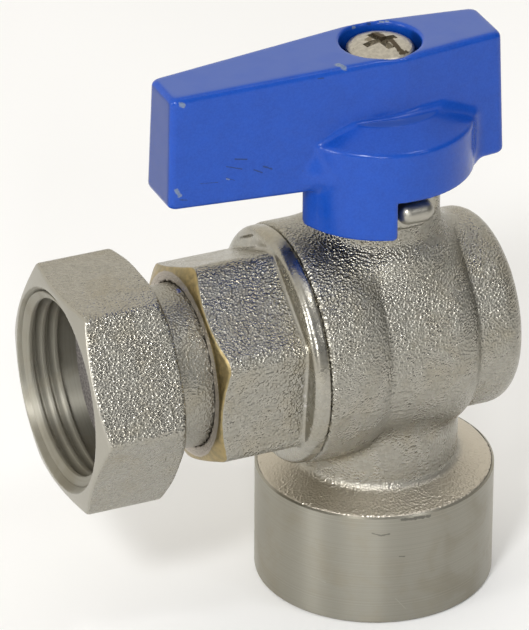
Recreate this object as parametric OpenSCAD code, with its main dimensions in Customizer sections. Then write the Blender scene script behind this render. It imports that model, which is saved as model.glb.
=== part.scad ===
// Angle ball valve: forged body, swivel union nut inlet, female outlet underneath, wing handle.
// The outlet face lies on z = 0 and the stem axis is the Z axis. The inlet axis runs along X.

/* [Main axes] */
// Height of the inlet axis above the outlet face
axis_h = 37.9; // [36:0.1:42]

/* [Outlet port] */
// Outer diameter of the turned outlet collar
collar_d = 33; // [32:0.1:36]
// Height of the turned outlet collar
collar_h = 16.6; // [15.5:0.1:17.5]
// Rounding of the collar's lower edge
collar_edge = 0.5; // [0.2:0.1:1]
// Major diameter of the pipe thread, in the outlet and in the union nut
thread_d = 26.44; // [26:0.01:27]
// Depth of the outlet thread
port_depth = 13; // [11:0.1:14]
// Outer diameter of the forged neck above the collar
low_neck_d = 22.8; // [22:0.1:24]
// Height of the sloping shoulder between collar and neck
shoulder_h = 2.4; // [1.5:0.1:3]
// Radius of the neck's foot on the shoulder
foot_r = 1.6; // [0.8:0.1:2]
// Diameter of the waterway below the ball
outlet_way_d = 17; // [14:0.1:17.5]

/* [Body] */
// How much wider the drum is than the connector's flange on it
drum_lip = 0.4; // [0.2:0.1:1.5]
// Distance from the stem axis to the drum's joint face
drum_end = 13.8; // [13.5:0.1:16]
// Distance from the stem axis to where the drum begins to fall towards the barrel
drum_step = 9.6; // [8:0.1:11]
// Length of that fall
drum_fall = 5; // [3:0.1:6]
// Outer diameter of the middle barrel
barrel_d = 31; // [30.4:0.1:32.4]
// Distance from the stem axis to where the barrel begins to fall towards the closed end
barrel_end = 5.2; // [4:0.1:7]
// Length of that fall
barrel_fall = 4.1; // [2:0.1:5]
// Outer diameter of the closed end
blind_d = 27.4; // [27:0.1:30]
// Distance from the stem axis to the closed end's flat
blind_end = 16.5; // [16:0.1:19]
// Edge radius of the closed end
blind_edge = 3.2; // [1.5:0.1:4]

/* [Stem neck and stops] */
// Outer diameter of the stem neck
neck_d = 16.7; // [16:0.1:18]
// Height of the stem neck's top above the inlet axis
neck_top = 27.8; // [27:0.1:28.4]
// Width of the flare where the neck grows out of the barrel
neck_flare = 1.5; // [1:0.1:3.2]
// Height at which that flare ends above the inlet axis
neck_flare_top = 16.6; // [16:0.1:18.5]
// Width of each stop lug
lug_w = 5.2; // [4:0.1:5.4]
// Height of each stop lug
lug_h = 3.1; // [2.4:0.1:3.4]
// Radius of the lugs' outer faces
lug_r = 12; // [11:0.1:12.4]
// Height of the lugs' centre above the inlet axis
lug_z = 22.4; // [22:0.1:22.8]
// Width of the raised pad round each lug
pad_w = 7.6; // [6.5:0.1:8.5]
// Height that the pad stands out of the neck
pad_rise = 0.5; // [0.3:0.1:0.8]

/* [Ball and seats] */
// Diameter of the ball
ball_d = 23.5; // [23:0.1:24]
// Bore through the ball, its seats and the connector
bore_d = 15; // [12:0.1:15.4]
// Clearance between the ball and its seats
ball_gap = 0.05; // [0.02:0.01:0.1]
// Clearance between the ball and the body's chamber
chamber_gap = 0.7; // [0.5:0.05:0.8]
// Outer diameter of the seat rings
seat_d = 20.8; // [20:0.1:21.4]
// Distance from the stem axis to the seats' inner faces
seat_in = 7; // [6.6:0.1:7.4]
// Distance from the stem axis to the seats' outer faces
seat_out = 11.4; // [11:0.1:12]

/* [End connector] */
// Width across the flats of the connector's hexagon
conn_af = 26.6; // [25.5:0.1:28]
// Corner radius of the forged hexagon
conn_corner = 1.2; // [0.6:0.1:3]
// Turn of the connector's hexagon about the inlet axis
conn_turn = 6; // [0:1:59]
// Length from the connector's left face to its flange
conn_hex_len = 12.5; // [10:0.1:14]
// Diameter of the flange
flange_d = 32.8; // [32.4:0.1:35]
// Thickness of the flange
flange_t = 2.4; // [2:0.1:3]
// Edge radius of the flange
flange_edge = 1.2; // [0.5:0.1:1.6]
// Diameter of the turned circle where the face chamfer starts
face_d = 25.8; // [25:0.1:26.4]
// Angle of the face chamfer
face_angle = 30; // [20:1:35]
// Diameter of the plug that screws into the body
plug_d = 26.8; // [26.4:0.1:27.2]
// Clearance of the screwed joints
screw_gap = 0.05; // [0.02:0.01:0.08]
// Depth of the tailpiece's socket
socket_depth = 6.5; // [5:0.1:8]
// Section diameter of the joint rings
joint_ring_s = 1.5; // [1.2:0.1:1.6]
// Turn of the scallop in the flange's face about the inlet axis
scallop_turn = 150; // [0:1:359]
// Depth of that scallop
scallop_t = 0.4; // [0.2:0.1:0.8]

/* [Tailpiece] */
// Outer diameter of the tailpiece
tail_d = 22.4; // [21.6:0.1:22.6]
// Inner diameter of the tailpiece
tail_way_d = 17; // [15.6:0.1:18]
// Length of tailpiece that stands out of the connector
tail_len = 9.3; // [8.5:0.1:12]
// Diameter of the lip that holds the nut
lip_d = 23.9; // [23.5:0.05:24]
// Thickness of the lip
lip_t = 1.6; // [1.2:0.1:2]

/* [Union gasket] */
// Outer diameter of the flat gasket in the nut
gasket_d = 24; // [23.4:0.1:24.1]
// Thickness of the gasket
gasket_t = 1.2; // [1:0.1:2]

/* [Union nut] */
// Width across the flats of the union nut
nut_af = 30; // [29.6:0.1:32]
// Length of the union nut
nut_len = 12.5; // [12:0.1:14]
// Thickness of the nut's back wall
nut_wall = 1.9; // [1.6:0.1:2.4]
// Diameter where the nut's shallow front cone starts
nut_face_d = 28.6; // [28.2:0.1:29.8]
// Angle of the front cone
nut_front_angle = 17; // [12:1:30]
// Diameter where the nut's back chamfer starts
nut_back_d = 30.6; // [29:0.1:31]
// Angle of the back chamfer
nut_back_angle = 30; // [20:1:35]
// Width of the lead into the nut's thread
nut_lead_w = 0.8; // [0.4:0.1:1]
// Depth of that lead
nut_lead_l = 1.4; // [0.8:0.1:2]
// Running clearance of the nut round the tailpiece
nut_gap = 0.1; // [0.05:0.01:0.1]
// Play between the nut's back wall and the lip
nut_play = 0.1; // [0.05:0.05:0.3]
// Length of the relief behind the nut's thread
relief_len = 2.1; // [1.8:0.1:2.6]
// Depth of that relief below the thread
relief_depth = 0.35; // [0.2:0.05:0.5]
// Turn of the nut about the inlet axis
nut_turn = 30; // [0:1:59]

/* [Stem] */
// Diameter of the stem
stem_d = 9; // [8:0.1:9.6]
// Running clearance of the stem in the neck
stem_gap = 0.05; // [0.02:0.01:0.1]
// Diameter of the stem's inner shoulder
shoulder_d = 12.4; // [12:0.1:13]
// Thickness of the stem's inner shoulder
shoulder_t = 2; // [1.5:0.1:2.2]
// Thickness of the low-friction washer on the shoulder
washer_t = 1; // [0.8:0.1:1.2]
// Width of the square that drives the handle
square_w = 6.2; // [5.6:0.1:6.3]
// Width of the tang in the ball's slot
tang_w = 4; // [3:0.1:5]
// Length of the tang
tang_l = 10; // [8:0.1:11]
// Depth of the tang in the ball
tang_depth = 2.6; // [2:0.1:3]
// Section diameter of the stem's rings
stem_ring_s = 1.5; // [1.2:0.1:1.7]
// Heights of the stem's rings above the inlet axis
stem_ring_z = [19.4, 23.6]; // [18:0.1:26]

/* [Handle] */
// Length of the long arm from the stem axis, at its top
arm_long = 31.5; // [26:0.1:50]
// Length of the short arm from the stem axis, at its top
arm_short = 15.9; // [14.5:0.1:24]
// Height of the wing's top above the inlet axis
wing_top = 43; // [42:0.1:45]
// Drop of the wing's top at the end of the long arm
wing_drop = 1.5; // [0:0.1:3]
// Height of the wing's underside above the inlet axis
wing_low = 24.9; // [24.6:0.1:27]
// Rise of the underside at the end of the long arm
wing_rise = 0.4; // [0:0.1:2]
// Thickness of the wing at the stem, measured at its top
wing_mid_t = 12.2; // [12:0.1:14]
// Thickness of the long arm's end, measured at its top
wing_long_t = 7.3; // [6:0.1:10]
// Thickness of the short arm's end, measured at its top
wing_short_t = 8.7; // [7:0.1:11]
// Draft of the wing, added to each side at its underside
wing_draft = 0.55; // [0.1:0.05:0.8]
// Edge radius of the wing
wing_edge = 0.9; // [0.6:0.1:1.8]
// Diameter of the hub
hub_d = 25.6; // [25:0.1:27]
// Height of the hub's underside above the inlet axis
hub_low = 24.9; // [24.6:0.1:25.3]
// Height of the hub's upright rim
hub_rim_h = 6.7; // [5.5:0.1:7]
// Height of the hub's sloping shoulder
hub_dome_h = 3.1; // [2:0.1:3.5]
// Wall of the hub
hub_wall = 2.8; // [2.2:0.1:2.9]
// Height of the hub's hollow
hub_hollow = 5; // [4.6:0.1:5.5]
// Length that the stop tab hangs below the hub
tab_drop = 5.25; // [4.5:0.05:6]
// Rounding of the tab's lower corners
tab_corner = 1.2; // [0.5:0.1:1.8]
// Angle that the handle turns between its stops
handle_travel = 90; // [80:1:95]
// Gap between the tab and a lug at the stops
stop_gap = 0.15; // [0.1:0.05:0.3]
// Diameter of the recess for the screw
recess_d = 11; // [10.6:0.1:11.4]
// Depth of that recess
recess_depth = 4.6; // [4.4:0.1:5.5]

/* [Handle screw] */
// Diameter of the screw's head
head_d = 9.15; // [8.5:0.05:10]
// Height of the screw's head at its rim
head_h = 2.7; // [2:0.1:2.8]
// Rise of the head's dome above its rim
head_dome = 0.9; // [0.3:0.1:1]
// Length of the head's cross recess
cross_l = 5; // [4:0.1:6]
// Width of the cross recess
cross_w = 1.1; // [0.8:0.1:1.4]
// Turn of the cross recess about the stem axis
cross_turn = 11; // [0:1:89]
// Diameter of the screw's shank
shank_d = 5; // [4:0.1:5.4]
// Length of the screw's shank
shank_l = 8; // [6:0.1:9]
// Thickness of the spring washer
spring_t = 0.9; // [0.6:0.1:1.2]

/* [Hidden] */
$fn = 64;

// Number of steps in a rounded stretch of an outline
arc_steps = 8;
// Overlap that lets a cut run clear of a face
over = 0.5;
// Share of a quarter of an ellipse that a fall follows
bulge_reach = 0.92;

// Small edges
mouth_edge = 0.3;
turned_edge = 0.4;
collar_top_w = 0.3;
collar_top_h = 0.2;
hub_rim_edge = 0.8;
hub_top_edge = 1.2;
head_edge = 0.3;
recess_edge = 0.3;

// Small gaps, and how much thinner a ring is than its groove
shoulder_gap = 0.1;
plug_end_gap = 0.2;
handle_seat_gap = 0.4;
washer_gap = 0.15;
washer_inset = 0.3;
ring_slack = 0.1;

// Depths and widths that nothing else sets
plug_groove = 0.6;
way_cone_over = 0.4;
scallop_r = 20;
scallop_w = 1.6;
cross_depth = 1;
hub_slope_w = 5.2;
hub_slope_angle = 60;
wing_mid_half = 1;

// Radii
collar_r = collar_d / 2;
thread_r = thread_d / 2;
low_neck_r = low_neck_d / 2;
drum_r = (flange_d + drum_lip) / 2;
barrel_r = barrel_d / 2;
blind_r = blind_d / 2;
neck_r = neck_d / 2;
ball_r = ball_d / 2;
bore_r = bore_d / 2;
seat_r = seat_d / 2;
chamber_r = ball_r + chamber_gap;
plug_r = plug_d / 2;
tail_r = tail_d / 2;
stem_r = stem_d / 2;
hub_r = hub_d / 2;
hub_in_r = hub_r - hub_wall;

// Places along the inlet axis
conn_face_x = -drum_end - flange_t - conn_hex_len;
lip_face_x = conn_face_x - tail_len;
nut_seat_x = lip_face_x + lip_t + nut_play;
nut_back_x = nut_seat_x + nut_wall;
nut_face_x = nut_back_x - nut_len;
gasket_x = lip_face_x - gasket_t;
relief_x = gasket_x - relief_len;

// Places along the stem axis, above the outlet face
pocket_top = axis_h + chamber_r + shoulder_t + washer_t + 2 * stem_gap;
stem_shoulder_z = pocket_top - stem_gap - washer_t - shoulder_t;
hub_web_z = axis_h + hub_low + hub_hollow;
recess_z = axis_h + wing_top - recess_depth;

// The tab's two edges, as turns about the stem axis
lug_half = asin(lug_w / 2 / hub_in_r);
stop_turn = asin(stop_gap / hub_in_r);
tab_from = 270 - lug_half - stop_turn;
tab_to = 90 + lug_half + stop_turn + handle_travel;

// Points of an arc about [cx, cy] from angle a to angle b
function arc(cx, cy, r, a, b) =
    [for (i = [0:arc_steps]) let (t = a + (b - a) * i / arc_steps) [cx + r * cos(t), cy + r * sin(t)]];

// Points of a soft step from radius r1 at x1 to radius r2 at x2
function soft_step(r1, x1, r2, x2) =
    [for (i = [0:arc_steps]) let (t = i / arc_steps)
        [r1 + (r2 - r1) * (1 - cos(180 * t)) / 2, x1 + (x2 - x1) * t]];

// Points of a fall that grows ever steeper from radius r1 at x1 and ends in a crease at radius r2 at x2
function bulge(r1, x1, r2, x2) =
    [for (i = [0:arc_steps]) let (t = bulge_reach * i / arc_steps)
        [r1 + (r2 - r1) * (1 - sqrt(1 - t * t)) / (1 - sqrt(1 - bulge_reach * bulge_reach)),
            x1 + (x2 - x1) * t / bulge_reach]];

// Points of a hexagon with rounded corners
function round_hex(af, corner) =
    [for (k = [0:5]) for (i = [0:arc_steps])
        let (c = (af / 2 - corner) / cos(30), t = 60 * k - 30 + 60 * i / arc_steps)
        [c * cos(60 * k) + corner * cos(t), c * sin(60 * k) + corner * sin(t)]];

// Places its children, drawn along Z, on the inlet axis
module on_inlet(x = 0) translate([x, 0, axis_h]) rotate([0, 90, 0]) children();

// A plain tube along Z
module tube(r_out, r_in, h) difference() {
    cylinder(r = r_out, h = h);
    translate([0, 0, -over]) cylinder(r = r_in, h = h + 2 * over);
}

// A ring of round section about Z
module ring(r, section) rotate_extrude() translate([r, 0]) circle(d = section, $fn = 32);

// Outer form of the body's drum, barrel and closed end
module barrel_form() on_inlet() rotate_extrude() polygon(concat(
    [[0, -drum_end], [drum_r - mouth_edge, -drum_end]],
    [[drum_r, -drum_end + mouth_edge], [drum_r, -drum_step]],
    bulge(drum_r, -drum_step, barrel_r, -drum_step + drum_fall),
    bulge(barrel_r, barrel_end, blind_r, barrel_end + barrel_fall),
    arc(blind_r - blind_edge, blind_end - blind_edge, blind_edge, 0, 90),
    [[0, blind_end]]));

// Outer form of the outlet collar, its shoulder and the neck above
module outlet_form() rotate_extrude() polygon(concat(
    [[0, 0], [collar_r - collar_edge, 0]],
    arc(collar_r - collar_edge, collar_edge, collar_edge, -90, 0),
    [[collar_r, collar_h], [collar_r - collar_top_w, collar_h + collar_top_h]],
    [[low_neck_r + foot_r, collar_h + shoulder_h]],
    arc(low_neck_r + foot_r, collar_h + shoulder_h + foot_r, foot_r, 270, 180),
    [[low_neck_r, axis_h - barrel_r / 2], [0, axis_h - barrel_r / 2]]));

// Outer form of the stem neck, with the flare at its foot
module neck_form() translate([0, 0, axis_h]) rotate_extrude() polygon(concat(
    [[0, 0], [neck_r + neck_flare, 0], [neck_r + neck_flare, neck_flare_top - 2 * neck_flare]],
    soft_step(neck_r + neck_flare, neck_flare_top - 2 * neck_flare, neck_r, neck_flare_top),
    [[neck_r, neck_top - turned_edge], [neck_r - turned_edge, neck_top], [0, neck_top]]));

// A flat pill lying along X, drawn from the stem axis towards -Y
module pill(w, h, reach) translate([0, 0, axis_h + lug_z]) rotate([90, 0, 0]) {
    translate([-(w - h) / 2, -h / 2, 0]) cube([w - h, h, reach]);
    for (s = [-1, 1]) translate([s * (w - h) / 2, 0, 0]) cylinder(d = h, h = reach);
}

// The two stop lugs, round at their outer faces, with their pads
module stop_lugs() for (turn = [0, 180]) rotate([0, 0, turn]) {
    pill(lug_w, lug_h, lug_r - lug_h / 2);
    translate([0, lug_h / 2 - lug_r, axis_h + lug_z]) rotate([0, 90, 0]) {
        cylinder(d = lug_h, h = lug_w - lug_h, center = true);
        for (s = [-1, 1]) translate([0, 0, s * (lug_w - lug_h) / 2]) sphere(d = lug_h);
    }
    pill(pad_w, pad_w - lug_w + lug_h, neck_r + pad_rise);
}

// Chamber, seat pocket and screwed mouth, bored from the connector's side
module chamber_cut() {
    on_inlet(-drum_end - over) cylinder(r = chamber_r, h = drum_end + seat_in + over);
    on_inlet(-drum_end - over) cylinder(r = plug_r + screw_gap, h = drum_end + over - seat_in);
    on_inlet(0) cylinder(r = seat_r + screw_gap, h = seat_out);
    on_inlet(0) cylinder(r = bore_r, h = chamber_r);
    on_inlet(-drum_end - over) cylinder(r = plug_r + joint_ring_s, h = joint_ring_s + over);
}

// Outlet thread and the waterway above it
module outlet_cut() {
    translate([0, 0, -over]) cylinder(r = thread_r, h = port_depth + over);
    rotate_extrude() polygon([[0, port_depth - over], [thread_r, port_depth - over], [thread_r, port_depth],
        [outlet_way_d / 2, collar_h + way_cone_over], [outlet_way_d / 2, axis_h], [0, axis_h]]);
}

// Bore of the stem and the pocket of its inner shoulder
module stem_cut() {
    translate([0, 0, axis_h]) cylinder(r = shoulder_d / 2 + shoulder_gap, h = pocket_top - axis_h);
    translate([0, 0, axis_h]) cylinder(r = stem_r + stem_gap, h = neck_top + over);
}

module body() color([0.66, 0.64, 0.6]) difference() {
    union() {
        barrel_form();
        outlet_form();
        neck_form();
        stop_lugs();
    }
    chamber_cut();
    outlet_cut();
    stem_cut();
}

// Turned envelope that chamfers the connector's hexagon at its left face
module conn_envelope() {
    corner_r = conn_af / 2 / cos(30) + over;
    rotate_extrude() polygon([[0, 0], [face_d / 2, 0],
        [corner_r, (corner_r - face_d / 2) * tan(face_angle)], [corner_r, conn_hex_len + flange_t / 2],
        [0, conn_hex_len + flange_t / 2]]);
}

module end_connector() color([0.68, 0.66, 0.62]) difference() {
    on_inlet(conn_face_x) union() {
        intersection() {
            rotate([0, 0, conn_turn]) linear_extrude(conn_hex_len + flange_t / 2)
                polygon(round_hex(conn_af, conn_corner));
            conn_envelope();
        }
        translate([0, 0, conn_hex_len]) rotate_extrude() polygon(concat([[0, 0]],
            arc(flange_d / 2 - flange_edge, flange_edge, flange_edge, -90, 0),
            [[flange_d / 2, flange_t - mouth_edge], [flange_d / 2 - mouth_edge, flange_t], [0, flange_t]]));
        cylinder(r = plug_r, h = conn_hex_len + flange_t + drum_end - seat_in - plug_end_gap);
    }
    on_inlet(conn_face_x - over) cylinder(r = tail_r + screw_gap, h = socket_depth + over);
    on_inlet(conn_face_x) cylinder(r = bore_r, h = -conn_face_x);
    on_inlet(-seat_out) cylinder(r = seat_r + screw_gap, h = seat_out);
    on_inlet(-drum_end) difference() {
        cylinder(r = plug_r + over, h = joint_ring_s);
        translate([0, 0, -over]) cylinder(r = plug_r - plug_groove, h = joint_ring_s + 2 * over);
    }
    on_inlet(-drum_end - flange_t) rotate([0, 0, scallop_turn])
        translate([(flange_d / 2 - flange_edge + conn_af / 2) / 2, 0, scallop_t - scallop_r])
        rotate([0, 90, 0]) cylinder(r = scallop_r, h = scallop_w, center = true);
}

module connector_ring() color([0.12, 0.12, 0.12]) on_inlet(-drum_end + joint_ring_s / 2)
    ring(plug_r - plug_groove + (joint_ring_s + ring_slack) / 2, joint_ring_s - ring_slack);

module tailpiece() color([0.64, 0.62, 0.58]) difference() {
    on_inlet(lip_face_x) union() {
        rotate_extrude() polygon([[0, 0], [lip_d / 2 - turned_edge, 0], [lip_d / 2, turned_edge],
            [lip_d / 2, lip_t], [tail_r, lip_t], [tail_r, tail_len + socket_depth - turned_edge],
            [tail_r - turned_edge, tail_len + socket_depth], [0, tail_len + socket_depth]]);
    }
    on_inlet(lip_face_x - over) cylinder(r = tail_way_d / 2, h = tail_len + socket_depth + 2 * over);
    on_inlet(conn_face_x + socket_depth / 2) difference() {
        cylinder(r = tail_r + over, h = joint_ring_s);
        translate([0, 0, -over]) cylinder(r = tail_r - joint_ring_s, h = joint_ring_s + 2 * over);
    }
}

module tailpiece_ring() color([0.12, 0.12, 0.12])
    on_inlet(conn_face_x + (socket_depth + joint_ring_s) / 2)
    ring(tail_r - joint_ring_s / 2, joint_ring_s - ring_slack);

module union_gasket() color([0.45, 0.44, 0.42])
    on_inlet(gasket_x) tube(gasket_d / 2, tail_way_d / 2, gasket_t);

// Turned envelope that chamfers the nut's hexagon at both ends
module nut_envelope() {
    corner_r = nut_af / 2 / cos(30) + over;
    front_cut = (corner_r - nut_face_d / 2) * tan(nut_front_angle);
    back_cut = (corner_r - nut_back_d / 2) * tan(nut_back_angle);
    rotate_extrude() polygon([[0, 0], [nut_face_d / 2, 0], [corner_r, front_cut],
        [corner_r, nut_len - back_cut], [nut_back_d / 2, nut_len], [0, nut_len]]);
}

module union_nut() color([0.7, 0.68, 0.64]) on_inlet(nut_face_x) difference() {
    intersection() {
        rotate([0, 0, nut_turn]) cylinder(r = nut_af / 2 / cos(30), h = nut_len, $fn = 6);
        nut_envelope();
    }
    translate([0, 0, -over]) cylinder(r = thread_r, h = relief_x - nut_face_x + over);
    translate([0, 0, -over]) cylinder(r1 = thread_r + nut_lead_w * (1 + over / nut_lead_l), r2 = thread_r,
        h = nut_lead_l + over);
    translate([0, 0, relief_x - nut_face_x])
        cylinder(r = thread_r + relief_depth, h = nut_seat_x - relief_x);
    cylinder(r = tail_r + nut_gap, h = nut_len + over);
}

module ball() color([0.8, 0.8, 0.8]) translate([0, 0, axis_h]) difference() {
    sphere(r = ball_r);
    translate([0, 0, -ball_r - over]) cylinder(r = bore_r, h = ball_r + over);
    rotate([0, -90, 0]) cylinder(r = bore_r, h = ball_r + over);
    translate([-ball_r, -tang_w / 2 - stem_gap, ball_r - tang_depth - stem_gap])
        cube([2 * ball_r, tang_w + 2 * stem_gap, ball_r]);
}

// A seat ring between the ball and a pocket, drawn for the +X side
module seat_ring() difference() {
    on_inlet(seat_in) cylinder(r = seat_r, h = seat_out - seat_in - screw_gap);
    on_inlet(seat_in - over) cylinder(r = bore_r, h = seat_out);
    translate([0, 0, axis_h]) sphere(r = ball_r + ball_gap);
}

module inlet_seat() color([0.93, 0.93, 0.9]) mirror([1, 0, 0]) seat_ring();

module blind_seat() color([0.93, 0.93, 0.9]) seat_ring();

module stem() color([0.78, 0.66, 0.4]) difference() {
    union() {
        translate([0, 0, stem_shoulder_z]) cylinder(d = shoulder_d, h = shoulder_t);
        translate([0, 0, stem_shoulder_z]) cylinder(r = stem_r, h = hub_web_z - stem_shoulder_z);
        translate([-square_w / 2, -square_w / 2, hub_web_z - over])
            cube([square_w, square_w, recess_z - hub_web_z - handle_seat_gap + over]);
        intersection() {
            translate([-tang_l / 2, -tang_w / 2, axis_h + ball_r - tang_depth])
                cube([tang_l, tang_w, stem_shoulder_z - axis_h - ball_r + tang_depth + over]);
            translate([0, 0, axis_h]) cylinder(r = shoulder_d / 2, h = stem_shoulder_z - axis_h + 2 * over);
        }
    }
    translate([0, 0, recess_z + spring_t - shank_l - over])
        cylinder(d = shank_d + 2 * screw_gap, h = shank_l + 2 * over);
    for (z = stem_ring_z) translate([0, 0, axis_h + z]) difference() {
        translate([0, 0, -stem_ring_s / 2]) cylinder(r = stem_r + over, h = stem_ring_s);
        translate([0, 0, -stem_ring_s]) cylinder(r = stem_r - stem_ring_s + ring_slack, h = 2 * stem_ring_s);
    }
}

module stem_washer() color([0.93, 0.93, 0.9])
    translate([0, 0, stem_shoulder_z + shoulder_t]) tube(shoulder_d / 2, stem_r, washer_t);

module stem_ring(z) color([0.12, 0.12, 0.12])
    translate([0, 0, axis_h + z]) ring(stem_r - (stem_ring_s - ring_slack) / 2, stem_ring_s - ring_slack);

module lower_stem_ring() stem_ring(stem_ring_z[0]);

module upper_stem_ring() stem_ring(stem_ring_z[1]);

// The rounded corners of the wing at one station along X
module wing_station(top_x, low_x, top_t, top_z, low_z) for (s = [-1, 1]) {
    translate([top_x, s * (top_t / 2 - wing_edge), top_z - wing_edge]) sphere(r = wing_edge, $fn = 32);
    translate([low_x, s * (top_t / 2 + wing_draft - wing_edge), low_z + wing_edge])
        sphere(r = wing_edge, $fn = 32);
}

// The wing, from the end of the long arm over the stem axis to the end of the short arm
module wing() hull() {
    wing_station(wing_edge - arm_long, wing_edge - arm_long - wing_draft, wing_long_t, wing_top - wing_drop,
        wing_low + wing_rise);
    for (x = [-wing_mid_half, wing_mid_half]) wing_station(x, x, wing_mid_t, wing_top, wing_low);
    wing_station(arm_short - wing_edge, arm_short - wing_edge + wing_draft, wing_short_t, wing_top,
        wing_low);
}

// Upright rim and sloping shoulder of the hub
module hub_form() rotate_extrude() polygon(concat([[0, hub_low], [hub_r, hub_low]],
    arc(hub_r - hub_rim_edge, hub_low + hub_rim_h, hub_rim_edge, 0, hub_slope_angle),
    arc(hub_r - hub_slope_w, hub_low + hub_rim_h + hub_dome_h - hub_top_edge, hub_top_edge,
        hub_slope_angle, 90),
    [[0, hub_low + hub_rim_h + hub_dome_h]]));

// What a tab's lower corner loses, drawn for an edge along X with the tab on its +Y side
module corner_loss() difference() {
    translate([0, -over, -over]) cube([hub_d, tab_corner + over, tab_corner + over]);
    translate([-over, tab_corner, tab_corner]) rotate([0, 90, 0])
        cylinder(r = tab_corner, h = hub_d + 2 * over);
}

// The tab that meets the lugs at both ends of the handle's travel
module stop_tab() translate([0, 0, hub_low - tab_drop]) difference() {
    rotate_extrude(angle = tab_from - tab_to, start = tab_to)
        translate([hub_in_r, 0]) square([hub_wall, tab_drop + over]);
    rotate([0, 0, tab_to]) corner_loss();
    rotate([0, 0, tab_from]) mirror([0, 1, 0]) corner_loss();
}

module handle() color([0.16, 0.33, 0.72]) difference() {
    translate([0, 0, axis_h]) union() {
        wing();
        hub_form();
        stop_tab();
    }
    translate([0, 0, axis_h + hub_low - over]) cylinder(r = hub_in_r, h = hub_hollow + over);
    translate([-square_w / 2 - screw_gap, -square_w / 2 - screw_gap, hub_web_z - over])
        cube([square_w + 2 * screw_gap, square_w + 2 * screw_gap, recess_z - hub_web_z + 2 * over]);
    translate([0, 0, recess_z]) cylinder(d = recess_d, h = recess_depth + over);
    translate([0, 0, recess_z + recess_depth - recess_edge])
        cylinder(d1 = recess_d, d2 = recess_d + 2 * recess_edge + 2 * over, h = recess_edge + over);
}

module spring_washer() color([0.7, 0.7, 0.7])
    translate([0, 0, recess_z]) tube(head_d / 2 - washer_inset, shank_d / 2 + washer_gap, spring_t);

module handle_screw() color([0.72, 0.7, 0.64]) translate([0, 0, recess_z + spring_t]) difference() {
    union() {
        rotate_extrude() polygon(concat([[0, 0], [head_d / 2, 0]],
            [for (i = [0:arc_steps]) let (t = 90 * i / arc_steps)
                [head_d / 2 * cos(t), head_h - head_edge + (head_dome + head_edge) * sin(t)]]));
        translate([0, 0, -shank_l]) cylinder(d = shank_d, h = shank_l + over);
    }
    for (turn = [0, 90]) rotate([0, 0, cross_turn + turn])
        translate([-cross_l / 2, -cross_w / 2, head_h + head_dome - cross_depth])
        cube([cross_l, cross_w, cross_depth + over]);
}

body();
end_connector();
connector_ring();
tailpiece();
tailpiece_ring();
union_gasket();
union_nut();
ball();
inlet_seat();
blind_seat();
stem();
stem_washer();
lower_stem_ring();
upper_stem_ring();
handle();
spring_washer();
handle_screw();
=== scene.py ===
"""Visual model of an angle ball valve with a swivel union nut and a wing handle.

Run as a script: the operators below build each piece in order, in metres, in the frame of the solids.
"""
import math

import bmesh
import bpy
import numpy as np
from mathutils import Matrix, Vector


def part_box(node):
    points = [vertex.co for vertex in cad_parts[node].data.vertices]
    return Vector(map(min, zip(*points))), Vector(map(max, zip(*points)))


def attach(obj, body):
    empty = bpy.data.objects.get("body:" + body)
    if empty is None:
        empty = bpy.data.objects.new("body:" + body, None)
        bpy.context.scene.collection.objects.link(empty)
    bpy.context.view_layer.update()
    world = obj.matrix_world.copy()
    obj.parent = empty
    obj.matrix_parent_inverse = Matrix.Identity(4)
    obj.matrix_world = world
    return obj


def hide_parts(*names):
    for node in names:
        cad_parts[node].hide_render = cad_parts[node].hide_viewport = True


bl_info = {
    "name": "Angle Ball Valve",
    "version": (1, 0, 0),
    "blender": (4, 5, 0),
    "location": "3D View > Sidebar > Valve",
    "description": "Builds the visual model of an angle ball valve piece by piece",
    "category": "Add Mesh",
}

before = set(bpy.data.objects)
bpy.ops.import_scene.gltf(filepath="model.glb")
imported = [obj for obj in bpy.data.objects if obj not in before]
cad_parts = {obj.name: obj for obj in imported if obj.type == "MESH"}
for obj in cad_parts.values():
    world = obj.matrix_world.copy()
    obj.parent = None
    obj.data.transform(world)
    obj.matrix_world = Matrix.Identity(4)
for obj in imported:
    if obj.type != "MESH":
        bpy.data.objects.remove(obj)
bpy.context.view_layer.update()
MM = 0.001
AXIS_H = (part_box("union_nut")[0].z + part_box("union_nut")[1].z) / 2 / MM
LUG_X = 0.6
LUG_Z = 22.1


# ---------------------------------------------------------------- settings

def length(name, description, default_mm):
    """A length property with its default given in millimetres."""
    return bpy.props.FloatProperty(name=name, description=description, default=default_mm * MM, min=0.0,
                                   unit="LENGTH", subtype="DISTANCE", precision=5)


def colour(name, description, default):
    """A colour property."""
    return bpy.props.FloatVectorProperty(name=name, description=description, size=3, min=0.0, max=1.0,
                                         default=default, subtype="COLOR")


class ValveSizes(bpy.types.PropertyGroup):
    """Fine sizes of the visible forms."""
    body_cell: length("Body Mesh Step", "Mesh step of the forged body", 0.34)
    fine_cell: length("Fine Mesh Step", "Mesh step of the nut, the connector and the handle", 0.27)
    saddle: length("Saddle Fillet", "Fillet where the barrel meets the lower neck", 1.5)
    neck_saddle: length("Neck Fillet", "Fillet where the stem neck meets the barrel", 3.1)
    hub_fillet: length("Hub Fillet", "Fillet where the long arm grows out of the hub", 3.4)
    crease_fillet: length("Crease Fillet", "Fillet in the crease round the rest of the hub", 1.5)
    edge: length("Forged Edge", "Rounding of the forged and turned edges", 0.45)
    pitch: length("Thread Pitch", "Pitch of the pipe thread", 1.814)
    crest: length("Thread Depth", "Depth of the pipe thread", 1.16)


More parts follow.
